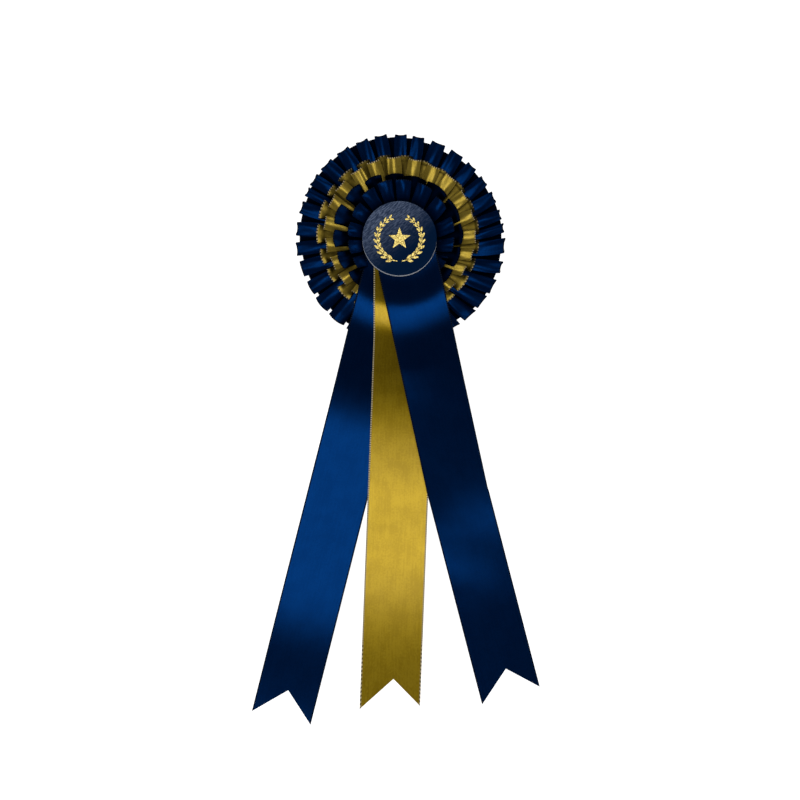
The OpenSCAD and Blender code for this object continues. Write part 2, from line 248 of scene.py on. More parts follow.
def satin(name, dye, width, metallic, roughness, stretch, coat=0.0):
    """Satin ribbon of a dye, whose stretch is how far its threads spread the gloss."""
    finish = Finish(name)
    uv = finish.add("ShaderNodeUVMap", {"uv_map": "ribbon"})
    along, across = finish.part_of(uv, "X"), finish.part_of(uv, "Y")
    from_edge = width / 2 - (across - width / 2).size()
    selvedge = 1 - from_edge.ramp(SELVEDGE * 0.8, SELVEDGE * 1.2)
    loop = ((along * (FULL_TURN / LOOP_PITCH)).sine() * 0.5 + 0.5).ramp(0.3, 0.7)

    flat = {"noise_dimensions": "2D"}
    stretched = finish.add("ShaderNodeMapping", None, uv, Scale=STREAK_SCALE)
    streaks = finish.add("ShaderNodeTexNoise", flat, stretched, Scale=1.0, Detail=3.0)
    broad = finish.add("ShaderNodeTexNoise", flat, uv, Scale=BROAD_SCALE, Detail=2.0)
    grain = finish.add("ShaderNodeTexNoise", flat, uv, Scale=GRAIN_SCALE, Detail=1.0)
    tone = (streaks * STREAK_SHARE + broad * BROAD_SHARE + grain * GRAIN_SHARE).ramp(0.38, 0.62)
    cloth = finish.blend(tone, dye["shade"], dye["body"])
    # Painted shadow: between the selvedge's loops the colour is darkened almost to black.
    gap = [v * LOOP_GAP_SHADOW for v in dye["edge"][:3]] + [1]
    whole = finish.blend(selvedge, cloth, finish.blend(loop, gap, dye["edge"]))
    light = finish.add("ShaderNodeAttribute", {"attribute_name": "fold_light"}, output="Fac")

    threads = (across * (FULL_TURN / THREAD_PITCH) + broad * THREAD_WANDER).sine()
    wefts = (along * (FULL_TURN / WEFT_PITCH) + streaks * WEFT_WANDER).sine()
    weave = threads * THREAD_RISE + wefts * WEFT_RISE
    finish.bump(weave * (1 - selvedge) + loop * selvedge * LOOP_RISE, WEAVE_DEPTH)
    finish.set(
        Base_Color=finish.blend(light, BLACK, whole),
        Metallic=metallic,
        Specular_IOR_Level=0.0,
        Specular_Tint=dye["tint"],
        Roughness=(1 - selvedge) * roughness + selvedge * SELVEDGE_ROUGHNESS,
        Anisotropic=stretch,
        Anisotropic_Rotation=QUARTER_TURN,
        Coat_Weight=coat,
        Coat_Roughness=COAT_ROUGHNESS,
    )
    return finish.owner


# %% Navy and gold
# body and shade are the two tones of the cloth, edge is the selvedge's colour, and tint
# is the gloss at a low angle.
PLEAT_WIDTH, TAIL_WIDTH = 25 * MM, 38.6 * MM
NAVY = {
    "body": (0.0004, 0.0108, 0.0505, 1), "shade": (0.0003, 0.0090, 0.0430, 1),
    "edge": (0.010, 0.018, 0.045, 1), "tint": (0.3, 0.54, 0.85, 1),
}
GOLD = {
    "body": (0.218, 0.144, 0.004, 1), "shade": (0.176, 0.113, 0.001, 1),
    "edge": (0.70, 0.60, 0.38, 1), "tint": (0.95, 0.75, 0.25, 1),
}
PALE_GOLD = {
    "body": (0.300, 0.216, 0.036, 1), "shade": (0.245, 0.172, 0.024, 1),
    "edge": (0.55, 0.44, 0.24, 1), "tint": (0.95, 0.75, 0.25, 1),
}
PLEATED, LAID = {"roughness": 0.34, "stretch": 0.5}, {"roughness": 0.28, "stretch": 0.0}

navy_pleats = satin("navy satin, pleated", NAVY, PLEAT_WIDTH, metallic=0.78, **PLEATED)
gold_pleats = satin("gold satin, pleated", PALE_GOLD, PLEAT_WIDTH, metallic=0.65, **PLEATED)
navy_tails = satin("navy satin, tails", NAVY, TAIL_WIDTH, metallic=0.85, **LAID)
gold_tails = satin("gold satin, tails", GOLD, TAIL_WIDTH, metallic=0.65, coat=0.13, **LAID)
print("satin finishes:", [m.name for m in bpy.data.materials if "satin" in m.name])

# %% [markdown]
# ## Numbers of the pleats
#
# On the real rosette each face of a box pleat is a loop of ribbon, and its edges turn
# under it to meet near its middle. The tables hold one row for each face, clockwise
# from the top. They follow the construction model's, so that the cloth lies where its
# solids lie. Only how far some gold faces hang, and the reach of a few gold and inner
# faces, are set closer to the photo here. Angles are in degrees and lengths in mm.

# %% The three tables of pleats
# left and right are the edges of the face at its outer end. tilt lets the left edge
# hang when negative and the right edge when positive. crown rounds the face up.
# face_r and base_r are the reach of the face and of the ribbon beside it. sweep turns
# the stitched end on from the outer end.
LEFT, RIGHT, TILT, CROWN, FACE_R, BASE_R, SWEEP = range(7)
OUTER_PLEATS = [
    (-3.0, 3.4, 0.0, 0.1, 66.0, 63.9, 0), (7.0, 13.4, 0.0, 0.1, 65.6, 62.8, 0),
    (18.2, 26.0, 0.1, 0.1, 65.4, 61.6, 1), (30.2, 37.8, 0.2, 0.2, 65.4, 62.9, 1),
    (42.0, 48.0, 0.2, 0.1, 65.1, 63.3, 2), (52.8, 58.6, 0.4, 0.1, 65.1, 63.3, 3),
    (63.3, 69.6, 0.6, 0.0, 65.3, 64.5, 4), (74.2, 79.6, 0.6, 0.0, 65.7, 64.9, 5),
    (82.0, 87.0, 0.2, 0.0, 66.4, 64.6, 6), (90.2, 98.4, 0.0, 0.0, 67.0, 64.8, 6),
    (103.2, 109.6, 0.0, 0.0, 67.5, 65.2, 6), (113.8, 122.2, 0.0, 0.2, 67.5, 65.4, 6),
    (124.0, 132.4, 0.0, 0.3, 67.3, 65.0, 6), (134.0, 142.2, 0.0, 0.3, 67.6, 63.7, 5),
    (145.4, 153.0, 0.0, 0.3, 67.5, 64.0, 4), (157.0, 164.5, 0.0, 0.2, 67.5, 64.0, 3),
    (168.5, 176.0, 0.0, 0.2, 67.5, 64.0, 2), (180.0, 187.5, 0.0, 0.2, 67.5, 64.0, 1),
    (191.5, 198.5, 0.0, 0.2, 67.8, 64.0, 0), (202.5, 210.8, 0.0, 0.5, 68.3, 64.2, 0),
    (213.0, 223.2, 0.0, 1.0, 68.4, 63.7, 0), (224.8, 234.6, 0.0, 1.0, 68.0, 63.6, 0),
    (236.6, 244.7, 0.0, 0.8, 67.2, 63.5, 0), (248.0, 256.6, -0.1, 0.5, 67.1, 63.6, 0),
    (260.0, 267.2, 0.0, 0.1, 67.2, 64.5, 0), (271.2, 278.4, 0.0, 0.0, 66.8, 64.5, 0),
    (283.6, 290.4, 0.0, 0.0, 66.6, 64.7, 0), (293.6, 298.8, 0.2, 0.0, 66.8, 65.6, 0),
    (300.2, 307.2, -0.6, 0.0, 67.1, 65.9, 0), (310.6, 318.4, -0.7, 0.0, 67.2, 66.0, 0),
    (322.7, 330.0, -0.6, 0.0, 67.2, 65.9, 0), (334.7, 341.4, -0.5, 0.0, 66.8, 65.3, 0),
    (345.6, 352.2, -0.3, 0.0, 66.7, 64.5, 0),
]
GOLD_PLEATS = [
    (-10.0, 0.0, 0.0, 0.0, 51.4, 52.2, 0), (6.0, 15.0, 0.0, 0.1, 50.6, 51.0, 1),
    (20.7, 30.2, 0.0, 0.1, 50.3, 50.9, 2), (35.5, 45.5, 0.0, 0.2, 50.5, 51.0, 2),
    (52.5, 61.5, 0.0, 0.1, 49.3, 50.4, 3), (68.8, 76.8, 0.3, 0.1, 48.7, 50.3, 3),
    (84.8, 94.3, 0.25, 0.1, 48.4, 50.3, 4), (99.6, 108.4, 0.2, 0.1, 47.7, 50.2, 4),
    (113.6, 122.5, 0.1, 0.2, 46.6, 50.6, 6), (130.4, 139.6, 0.0, 0.3, 46.5, 51.0, 3),
    (147.5, 156.0, 0.0, 0.0, 49.0, 51.0, 2), (164.0, 173.0, 0.0, 0.0, 49.5, 51.0, 1),
    (180.5, 190.0, 0.0, 0.0, 49.5, 51.0, 0), (197.0, 205.5, 0.0, 0.0, 49.5, 51.5, 0),
    (213.0, 222.2, 0.0, 0.2, 46.7, 52.0, 0), (228.4, 239.0, -0.2, 0.3, 47.0, 51.7, -1),
    (243.0, 253.8, -0.3, 0.2, 47.0, 52.3, -1), (258.5, 268.7, -0.4, 0.1, 48.2, 53.6, -2),
    (276.0, 286.0, -0.5, 0.1, 49.6, 54.0, -2), (293.2, 303.0, -0.5, 0.0, 50.2, 54.4, -2),
    (305.4, 315.4, -0.4, 0.0, 51.0, 54.2, -1), (321.8, 331.1, -0.2, 0.0, 51.1, 53.8, -2),
    (335.3, 345.0, 0.0, 0.0, 51.5, 53.1, -1),
]
INNER_PLEATS = [
    (-5.0, 11.0, 0.0, 0.6, 37.2, 39.6, 0), (18.0, 34.0, 0.2, 0.5, 37.0, 40.3, 2),
    (42.0, 58.0, 0.3, 0.8, 35.5, 40.0, 6), (68.5, 84.0, 0.3, 0.6, 35.5, 40.0, 8),
    (90.5, 106.0, 0.2, 0.5, 35.0, 39.6, 8), (113.0, 129.0, 0.1, 0.6, 34.0, 40.3, 6),
    (136.5, 152.0, 0.0, 0.1, 37.5, 40.0, 3), (160.0, 175.5, 0.0, 0.0, 38.0, 40.0, 0),
    (183.5, 199.0, 0.0, 0.0, 38.0, 40.0, 0), (206.5, 222.0, 0.0, 0.1, 37.5, 41.0, -2),
    (230.0, 246.0, -0.1, 0.8, 34.5, 42.2, -3), (251.0, 266.5, -0.1, 0.8, 34.5, 43.0, -3),
    (271.0, 286.5, 0.0, 0.8, 34.5, 43.8, -3), (293.5, 310.0, 0.1, 0.9, 35.0, 43.4, -3),
    (316.5, 332.0, 0.0, 0.7, 36.8, 42.2, -2), (336.5, 351.5, 0.0, 0.5, 37.6, 40.6, -1),
]
# How far apart the two folds under an inner face stay, as a share of its width. Where
# they do not meet, the gold ribbon below shows as a small tongue.
INNER_OPEN = (0.04, 0.04, 0.18, 0.15, 0.15, 0.2, 0.2, 0.2, 0.2, 0.2, 0.3, 0.3, 0.34, 0.34, 0.3, 0.22)
print("faces in the three tiers:", len(OUTER_PLEATS), len(GOLD_PLEATS), len(INNER_PLEATS))

# %% Heights of the tiers
# Columns: distance from the middle, height of the ribbon between two faces, height of
# the faces, and the same two where the tails press the pleats down. All in mm.
STITCH_Z, FOLD_Z = 6.8, 9.0
OUTER_HEIGHTS = np.array([
    (41, 6.4, 7.2, 6.4, 7.2), (48, 5.8, 7.6, 5.8, 7.6), (54, 4.8, 8.2, 3.9, 7.4),
    (58, 3.9, 8.0, 2.6, 6.8), (62, 3.0, 7.6, 1.7, 5.9), (68, 1.6, 6.8, 1.3, 5.4),
])
GOLD_HEIGHTS = np.array([
    (28.5, STITCH_Z, FOLD_Z, STITCH_Z, FOLD_Z), (33, 9.0, 11.8, 8.6, 10.4), (36, 9.4, 12.6, 9.0, 11.2),
    (40.5, 9.8, 13.5, 9.6, 12.2), (45, 9.8, 13.9, 9.8, 12.2), (48, 9.8, 14.0, 9.8, 12.3),
    (49.5, 10.4, 14.0, 9.8, 12.3), (54.5, 10.5, 13.9, 9.8, 12.3),
])
INNER_HEIGHTS = np.array([
    (18.5, STITCH_Z, FOLD_Z, STITCH_Z, FOLD_Z), (24, 9.4, 14.4, 9.2, 11.2), (28, 11.4, 16.4, 10.4, 12.4),
    (31, 12.9, 17.6, 11.6, 13.4), (34, 13.9, 18.0, 12.9, 14.6), (36, 14.5, 17.9, 13.6, 15.2),
    (38, 15.2, 17.4, 14.3, 15.7), (40, 15.7, 17.4, 14.8, 15.7), (43.8, 16.5, 17.4, 15.3, 15.8),
])

# %% [markdown]
# ## Numbers of the tails
#
# The tails are three cuts of wider ribbon. They come out from under the disc, climb
# over the pressed pleats, drop to the table and rise once more in a low swell before
# their ends. Satin is bright where it lies level and dark where it slopes, so each
# tail has a line of its own.

# %% The tails' table and their line over the table
NEAR_LINE = [
    (10, 12.1), (20, 12.5), (24, 12.9), (28, 13.6), (31, 14.4), (34.5, 15.7), (38, 17.0), (42, 18.2),
    (45, 18.5), (49, 18.6), (54, 18.4), (58, 18.0), (62, 17.4), (66, 16.3), (70, 14.9), (76, 12.5),
    (84, 9.3),
]
FAR_LINES = {
    "left": [
        (92, 6.5), (100, 4.2), (108, 2.5), (116, 1.4), (124, 0.8), (134, 0.6), (160, 1.6), (190, 2.9),
        (220, 4.8), (238, 5.6), (252, 5.6), (266, 4.9), (290, 2.3), (312, 0.5), (330, 0.3),
    ],
    "gold": [
        (92, 7.3), (100, 5.6), (108, 4.3), (116, 3.3), (129, 2.1), (142, 1.3), (155, 0.8), (165, 0.7),
        (178, 1.6), (195, 3.5), (207, 4.7), (219, 5.15), (232, 5.0), (245, 4.55), (258, 3.9), (270, 3.1),
        (285, 1.95), (300, 0.85), (311, 0.2), (330, -0.9),
    ],
    "right": [
        (92, 7.3), (100, 5.6), (108, 4.3), (120, 2.9), (135, 1.7), (150, 1.0), (165, 0.8), (178, 1.1),
        (190, 1.7), (203, 2.0), (230, 1.7), (260, 1.2), (290, 0.7), (330, 0.5),
    ],
}
# The right tail leans on the gold one: its left edge is lifted, so that it is turned
# about its own length by this many degrees at each distance down.
RIGHT_TWIST = [
    (0, 0), (60, 0), (85, 4), (110, 8.5), (150, 9), (164, 7), (180, 2.5), (205, 2.2), (218, 5),
    (232, 8.5), (290, 8.5), (330, 6),
]
TAIL_LAYER, LAYER_FROM, LAYER_TO = 1.45, 172, 225
SHIFT, ANGLE, BEND_AT, ANGLE_2, LEFT_TIP, NOTCH, RIGHT_TIP, NOTCH_SHIFT, LAYER = range(9)
TAILS = {
    "left": (1.4, -14.2, 160, -14.2, 302.8, 289.3, 311.6, 0.0, 0),
    "gold": (2.3, 0.0, 63, -2.2, 301.5, 282.0, 299.5, 1.6, 1),
    "right": (0.9, 12.4, 160, 14.6, 298.0, 275.3, 287.2, 1.2, 2),
}


def step(value):
    """0 below 0, 1 above 1 and a smooth step between them."""
    v = np.clip(value, 0, 1)
    return v * v * (3 - 2 * v)


FINE_STEP = 0.25
FINE = np.arange(0, 340, FINE_STEP)
SOFT_NEAR, SOFT_FAR = 1.8, 7.0
SOFTEN_FROM, SOFTEN_OVER = 85, 30


def softened(table, softness):
    """A table's straight stretches joined by bends of a softness in mm, at every fine step."""
    reach = np.arange(-3 * softness, 3 * softness + FINE_STEP, FINE_STEP)
    weight = np.exp(-((reach / softness) ** 2) / 2)
    return np.interp(FINE[:, None] + reach, *np.transpose(table)) @ weight / weight.sum()


def smooth_line(table):
    """Bends that are tight near the disc and wide beyond the pleats."""
    far = step((FINE - SOFTEN_FROM) / SOFTEN_OVER)
    return softened(table, SOFT_NEAR) * (1 - far) + softened(table, SOFT_FAR) * far


TAIL_HEIGHTS = {key: smooth_line(NEAR_LINE + far) for key, far in FAR_LINES.items()}
TWIST_LINE = softened(RIGHT_TWIST, SOFT_FAR)


def tail_x(tail, down, side):
    """Where a tail's left edge (-1), middle (0) or right edge (1) is."""
    first, second = np.minimum(down, tail[BEND_AT]), np.maximum(0, down - tail[BEND_AT])
    slopes = np.tan(np.radians([tail[ANGLE], tail[ANGLE_2]]))
    angle = np.where(down > tail[BEND_AT], tail[ANGLE_2], tail[ANGLE])
    half = TAIL_WIDTH / MM / 2 / np.cos(np.radians(angle))
    return tail[SHIFT] + first * slopes[0] + second * slopes[1] + side * half


# %% [markdown]
# ## Folding a ribbon into box pleats
#
# Each ring of the ribbon, from the stitching to the outer edge, is a closed curve. It
# runs along the base, turns back at a fold under the face, climbs to the face's edge,
# crosses the face and does the same again on the other side. A B-spline drawn from a
# few control points makes those turns round, as ribbon does, where straight lines
# would crease it like paper. No two pleats are pulled up alike, so each face also gets
# its own arch, twist and faint ripples from a random number generator with a fixed seed.
#
# Each control point also says how much light reaches it: all of it on a face, next to
# none under one, and some on the ribbon between two faces. Where that ribbon reaches
# out beyond the faces, it lies open and is lit again.

# %% One pleat, as control points
STITCH_SLOT = 1.3
HANG_SHARE, CROWN_DROP, CROWN_DRAW, FACE_SCOOP = 0.55, 0.35, 1.6, 0.8
PRESS_FADE, PRESS_START = 6, 14
FACE_POINTS = (0.93, 0.6, 0.25)
TUCK, FOLD_SHARE, FOLD_BACK, EDGE_BACK = 0.6, 0.15, 0.12, 0.15
LOWEST_FACE, LEAST_TURN, HIGHEST_TURN = 0.9, 0.4, 0.5
TUCK_DROP, EDGE_DROP = 1.3, 0.6
ROOT_OPEN = 0.08
FOLD_RINGS = (0, 0.5, 0.72, 0.86, 0.93)
PLUMP_R, PLUMP_REACH = 27.5, 3.2
# The shares of the ribbon's width at which an arch, a twist and a lean are at their full.
ARCH_AT, TWIST_AT, LEAN_AT = 1 / 1.6, 1 / 1.3, 0.4
UNDER_EDGE, IN_FOLD, FOLD_OPEN, FOLD_ROOT_OPEN = 0.0, 0.06, 0.8, 0.5
SHARP_END, SHADED_ROOT, CLEAR_OF_FACE, GAP_ROOT = 0.3, 2.0, 2.0, 0.15


def degrees_of(length, r):
    return math.degrees(length / r)


def lerp(a, b, t):
    return a + (b - a) * t


def pressed(angle, r):
    """How much of the tails' weight lies on a point, from 0 to 1."""
    x, down = r * math.sin(math.radians(angle)), -r * math.cos(math.radians(angle))
    beside = max(tail_x(TAILS["left"], down, -1) - x, x - tail_x(TAILS["right"], down, 1))
    return step(down / PRESS_START) * (1 - step(beside / PRESS_FADE))


def pleat_press(row):
    """The most of that weight near a face's two ends."""
    return max(pressed(row[edge], share * row[FACE_R]) for edge in (LEFT, RIGHT) for share in (0.75, 1))


class Tier:
    """One ribbon of pleats: its table, its heights and the character of its folds, in mm.

    What is named in one_each holds for all faces, or is a list with a value for each.
    """

    def __init__(self, rows, heights, stitch_r, seed, arch, ripple, narrow, draw, twist, **one_each):
        self.rows, self.heights, self.stitch_r = rows, heights, stitch_r
        self.arch, self.ripple, self.narrow, self.draw = arch, ripple, narrow, draw
        for name in ("open_share", "end_share", "lean", "gap_light", "strip_light", "plump"):
            setattr(self, name, np.broadcast_to(one_each.get(name, 0.0), len(rows)))
        draw_of = np.random.default_rng(seed)
        waves = (len(rows), 2 * len(FACE_POINTS) + 2)
        self.lift = draw_of.uniform(0.6, 1.4, len(rows))
        self.twist = draw_of.uniform(-twist, twist, len(rows))
        self.phase = draw_of.uniform(0, FULL_TURN, waves)
        self.pace = draw_of.uniform(2.5, 7.0, waves)

    def height(self, column, r, press):
        loose, flat = (np.interp(r, self.heights[:, 0], self.heights[:, c]) for c in (column, column + 2))
        return lerp(loose, flat, press)

    def wave(self, i, k, t):
        return self.ripple * min(1, 2 * t) * math.sin(self.phase[i, k] + self.pace[i, k] * t)

    def controls(self, i, t):
        """Control points (angle, radius, height, light) of one pleat on the ring at the share t."""
        rows, n = self.rows, len(self.rows)
        row, before, after = rows[i], rows[i - 1], rows[(i + 1) % n]
        before_right = before[RIGHT] - (360 if i == 0 else 0)
        after_left = after[LEFT] + (360 if i == n - 1 else 0)
        slot = degrees_of(STITCH_SLOT / 2, self.stitch_r)
        turn_left = (before[SWEEP] + row[SWEEP]) / 2 * (1 - t)
        turn_right = (row[SWEEP] + after[SWEEP]) / 2 * (1 - t)
        seam_left, seam_right = (before_right + row[LEFT]) / 2, (row[RIGHT] + after_left) / 2
        end = t**self.narrow
        left = lerp(seam_left + slot, row[LEFT], end) + turn_left
        right = lerp(seam_right - slot, row[RIGHT], end) + turn_right
        between = seam_right + turn_right
        mid, half = (left + right) / 2, (right - left) / 2
        face_r = lerp(self.stitch_r, row[FACE_R], t)
        left_r, right_r = lerp(self.stitch_r, before[BASE_R], t), lerp(self.stitch_r, row[BASE_R], t)

        press = pleat_press(row)
        press_between = max(press, pleat_press(after))
        top = self.height(2, face_r, press)
        rise = top - self.height(1, face_r, press)
        top += self.plump[i] * math.exp(-(((face_r - PLUMP_R) / PLUMP_REACH) ** 2))
        drop = CROWN_DROP * rise * row[CROWN] * t + self.arch * self.lift[i] * step(t / ARCH_AT)
        pull, scoop = CROWN_DRAW * row[CROWN] * t, FACE_SCOOP * t
        opened = self.open_share[i]
        share = np.interp(t, FOLD_RINGS, (ROOT_OPEN, ROOT_OPEN, opened, opened, self.end_share[i]))
        points = []
        for side, edge, low_r, waves in ((-1, left, left_r, 0), (1, right, right_r, len(FACE_POINTS))):
            hang = HANG_SHARE * rise * max(0, side * row[TILT]) * t
            low = self.height(1, low_r, press) - side * self.lean[i] * step(t / LEAN_AT)
            turned = side * self.twist[i] * step(t / TWIST_AT)
            edge_z = max(top - drop - hang + turned, low + LOWEST_FACE)
            turn = max(LEAST_TURN, FOLD_SHARE * (edge_z - low))
            fold, fold_r = mid + side * share * half, low_r - self.draw * t
            beyond = self.strip_light[i] * step((low_r - row[FACE_R] - SHADED_ROOT) / CLEAR_OF_FACE)
            chain = [
                (edge, low_r - EDGE_BACK * self.draw * t, low, lerp(UNDER_EDGE, 1, beyond)),
                (fold, fold_r, low, lerp(IN_FOLD, FOLD_OPEN, beyond)),
                (fold, fold_r - SHARP_END * t, low, lerp(IN_FOLD, FOLD_ROOT_OPEN, beyond)),
                (fold, lerp(fold_r, face_r, FOLD_BACK), low + min(turn, HIGHEST_TURN * rise), IN_FOLD),
                (lerp(edge, fold, TUCK), face_r - pull, edge_z - TUCK_DROP * turn, IN_FOLD),
                (edge, face_r - pull, edge_z - EDGE_DROP * turn, UNDER_EDGE),
                (edge, face_r - pull, edge_z, 1),
            ]
            chain += [
                (lerp(mid, edge, s), face_r - pull * s * s - scoop * (1 - s * s),
                 lerp(top, edge_z, s * (1 + s) / 2) + self.wave(i, waves + k, t), 1)
                for k, s in enumerate(FACE_POINTS)
            ]
            points += chain if side < 0 else chain[::-1]
        low_between = self.height(1, right_r, press_between)
        clear = step((right_r - row[FACE_R]) / CLEAR_OF_FACE)
        light = lerp(self.gap_light[i] * (1 - GAP_ROOT * t), self.strip_light[i], clear)
        return points + [(between, right_r, low_between + self.wave(i, -1, t), light)]


# %% A ring of pleats as a smooth closed curve
SPLINE_STEPS = 3


def closed_spline(points):
    """A cubic B-spline round a closed chain of control points whose angle gains 360 degrees."""
    whole_turn = np.array([360, 0, 0, 0])
    chain = np.concatenate([points[-1:] - whole_turn, points, points[:2] + whole_turn])
    curve = []
    for u in np.arange(SPLINE_STEPS) / SPLINE_STEPS:
        weights = ((1 - u) ** 3, 3 * u**3 - 6 * u**2 + 4, -3 * u**3 + 3 * u**2 + 3 * u + 1, u**3)
        curve.append(sum(w / 6 * chain[k : k + len(points)] for k, w in enumerate(weights)))
    return np.stack(curve, axis=1).reshape(-1, 4)


def ring_of_pleats(tier, t):
    controls = [p for i in range(len(tier.rows)) for p in tier.controls(i, t)]
    angle, r, z, light = closed_spline(np.array(controls)).T
    angle = np.radians(angle)
    return np.stack([r * np.sin(angle) * MM, r * np.cos(angle) * MM, z * MM, light], axis=1)


# %% [markdown]
# ## A sheet of cloth from a grid of points
#
# Pleats and tails are both grids of points. This function turns a grid into a mesh,
# gives it the UV map that the satin reads, and thickens it to the ribbon's real wall.

# %% From a grid to a sheet
CLOTH = 0.3 * MM


def sheet_from_grid(name, points, across, closed, light=None):
    """points[row][column]; rows run across the ribbon, columns along it."""
    rows, columns = points.shape[:2]
    cells = columns if closed else columns - 1
    middle = points[rows // 2]
    gaps = np.linalg.norm(np.roll(middle, -1, axis=0) - middle, axis=1)
    along = np.concatenate([[0], np.cumsum(gaps)])
    faces, uvs = [], []
    for j in range(rows - 1):
        for k in range(cells):
            m = (k + 1) % columns
            faces.append((j * columns + k, (j + 1) * columns + k, (j + 1) * columns + m, j * columns + m))
            uvs += [(along[k], across[j]), (along[k], across[j + 1]),
                    (along[k + 1], across[j + 1]), (along[k + 1], across[j])]
    mesh = bpy.data.meshes.new(name)
    mesh.from_pydata(points.reshape(-1, 3).tolist(), [], faces)
    mesh.uv_layers.new(name="ribbon").data.foreach_set("uv", np.array(uvs, np.float32).ravel())
    lit = np.ones(rows * columns) if light is None else light.ravel()
    mesh.attributes.new("fold_light", "FLOAT", "POINT").data.foreach_set("value", lit.astype(np.float32))
    piece = bpy.data.objects.new(name, mesh)
    bpy.context.scene.collection.objects.link(piece)
    area = sum(p.area for p in mesh.polygons)
    print(f"{name}: {area * 1e4:.1f} square cm of cloth, {along[cells]:.3f} m along its middle")
    apply_modifier(piece, "SOLIDIFY", thickness=CLOTH, offset=0, use_even_offset=False)
    return piece


# %% [markdown]
# ## The three rings
#
# Each ring is the same fold with numbers of its own. On the left the inner faces are
# plump near the middle and the ribbon beyond them is well lit. One face at the upper
# right is as plump. On the right the gold ribbon lies level between its faces but in
# their shade. Three inner faces are hardly arched or twisted, so they lie nearly level
# and catch the most light.

# %% The three pleated tiers
TIER_RINGS = np.array(
    [0, 0.08, 0.18, 0.28, 0.38, 0.47, 0.55, 0.63, 0.7, 0.76, 0.81, 0.86, 0.895, 0.93, 0.965, 1]
)
ON_THE_LEFT, UPPER_RIGHT = (225, 300), (40, 50)
LEVEL_GOLD, SHADED_GOLD = (15, 150), (30, 150)
LEVEL_FACES, LEVEL_LIFT, LEVEL_TWIST = [2, 11, 12], 0.25, 0.1


def pleated_tier(name, tier):
    grid = np.stack([ring_of_pleats(tier, t) for t in TIER_RINGS])
    return sheet_from_grid(name, grid[..., :3], TIER_RINGS * PLEAT_WIDTH, closed=True, light=grid[..., 3])


def by_angle(rows, spans, inside, outside):
    """One value for the faces whose left edge lies within spans of angles, another for the rest."""
    return [inside if any(a < row[LEFT] < b for a, b in spans) else outside for row in rows]


outer_tier = Tier(
    OUTER_PLEATS, OUTER_HEIGHTS, stitch_r=41, seed=3, arch=0.8, ripple=0.25, narrow=2.6, draw=0.5,
    twist=0.6, open_share=0.2, end_share=0.2, lean=0.7, gap_light=0.6, strip_light=0.8,
)
gold_tier = Tier(
    GOLD_PLEATS, GOLD_HEIGHTS, stitch_r=28.5, seed=5, arch=0.85, ripple=0.22, narrow=1.8, draw=0.4,
    twist=0.35, open_share=0.45, end_share=0.4, strip_light=1.0,
    lean=by_angle(GOLD_PLEATS, [LEVEL_GOLD], 0.1, 0.45),
    gap_light=by_angle(GOLD_PLEATS, [SHADED_GOLD], 0.6, 0.9),
)
inner_tier = Tier(
    INNER_PLEATS, INNER_HEIGHTS, stitch_r=18.5, seed=8, arch=1.4, ripple=0.3, narrow=1.8, draw=0.8,
    twist=0.6, open_share=INNER_OPEN, end_share=INNER_OPEN, lean=0.6, gap_light=0.7,
    strip_light=by_angle(INNER_PLEATS, [ON_THE_LEFT], 1.0, 0.45),
    plump=by_angle(INNER_PLEATS, [ON_THE_LEFT, UPPER_RIGHT], 1.2, 0.5),
)
inner_tier.lift[LEVEL_FACES] = LEVEL_LIFT
inner_tier.twist[LEVEL_FACES] = LEVEL_TWIST
outer_cloth = pleated_tier("outer_tier_cloth", outer_tier)
gold_cloth = pleated_tier("gold_tier_cloth", gold_tier)
inner_cloth = pleated_tier("inner_tier_cloth", inner_tier)
finish_piece(outer_cloth, navy_pleats, "navy_satin", "outer_tier", angle=70)
finish_piece(gold_cloth, gold_pleats, "gold_satin", "gold_tier", angle=70)
finish_piece(inner_cloth, navy_pleats, "navy_satin", "inner_tier", angle=70)

# %% [markdown]
# ## The tails
#
# A tail is flat across and curved along its length, because ribbon bends one way at a
# time. The height of each point follows its distance from the middle of the rosette,
# where the pleats below it are. The end is cut to a swallow's tail, so the last rows
# of the grid lean over to follow the cut.

# %% Lay the three tails
ROWS_FROM, ROWS_TO, ROW_PITCH = -3, 262, 2.5
SIDES = np.linspace(-1, 1, 17)
FULL_ROWS = np.arange(ROWS_FROM, ROWS_TO, ROW_PITCH)
END_ROWS = np.linspace(0, 1, 14)[1:]


def tail_cloth(key):
    tail = TAILS[key]
    ends = np.interp(SIDES, [-1, 0, 1], [tail[LEFT_TIP], tail[NOTCH], tail[RIGHT_TIP]])
    grid = []
    last = FULL_ROWS[-1]
    lines = [np.full(len(SIDES), down) for down in FULL_ROWS] + [lerp(last, ends, s) for s in END_ROWS]
    for down in lines:
        lean = (down - last) / (ends - last)
        x = tail_x(tail, down, SIDES) + tail[NOTCH_SHIFT] * (1 - np.abs(SIDES)) * np.clip(lean, 0, 1)
        z = np.interp(np.hypot(x, down), FINE, TAIL_HEIGHTS[key])
        if key == "right":
            z += (1 - SIDES) / 2 * TAIL_WIDTH / MM * np.tan(np.radians(np.interp(down, FINE, TWIST_LINE)))
        z += TAIL_LAYER * tail[LAYER] * (1 - step((down - LAYER_FROM) / (LAYER_TO - LAYER_FROM)))
        grid.append(np.stack([x, -down, z], axis=1))
    points = np.stack(grid, axis=1)[::-1] * MM
    return sheet_from_grid(f"tail_{key}_cloth", points, (1 - SIDES[::-1]) / 2 * TAIL_WIDTH, closed=False)


for key, material, slot, length, under in (
    ("left", navy_tails, "navy_satin", 0.329, "inner_tier_cloth"),
    ("gold", gold_tails, "gold_satin", 0.314, "tail_left_cloth"),
    ("right", navy_tails, "navy_satin", 0.313, "tail_gold_cloth"),
):
    piece = tail_cloth(key)
    finish_piece(piece, material, slot, f"tail_{key}", angle=60)
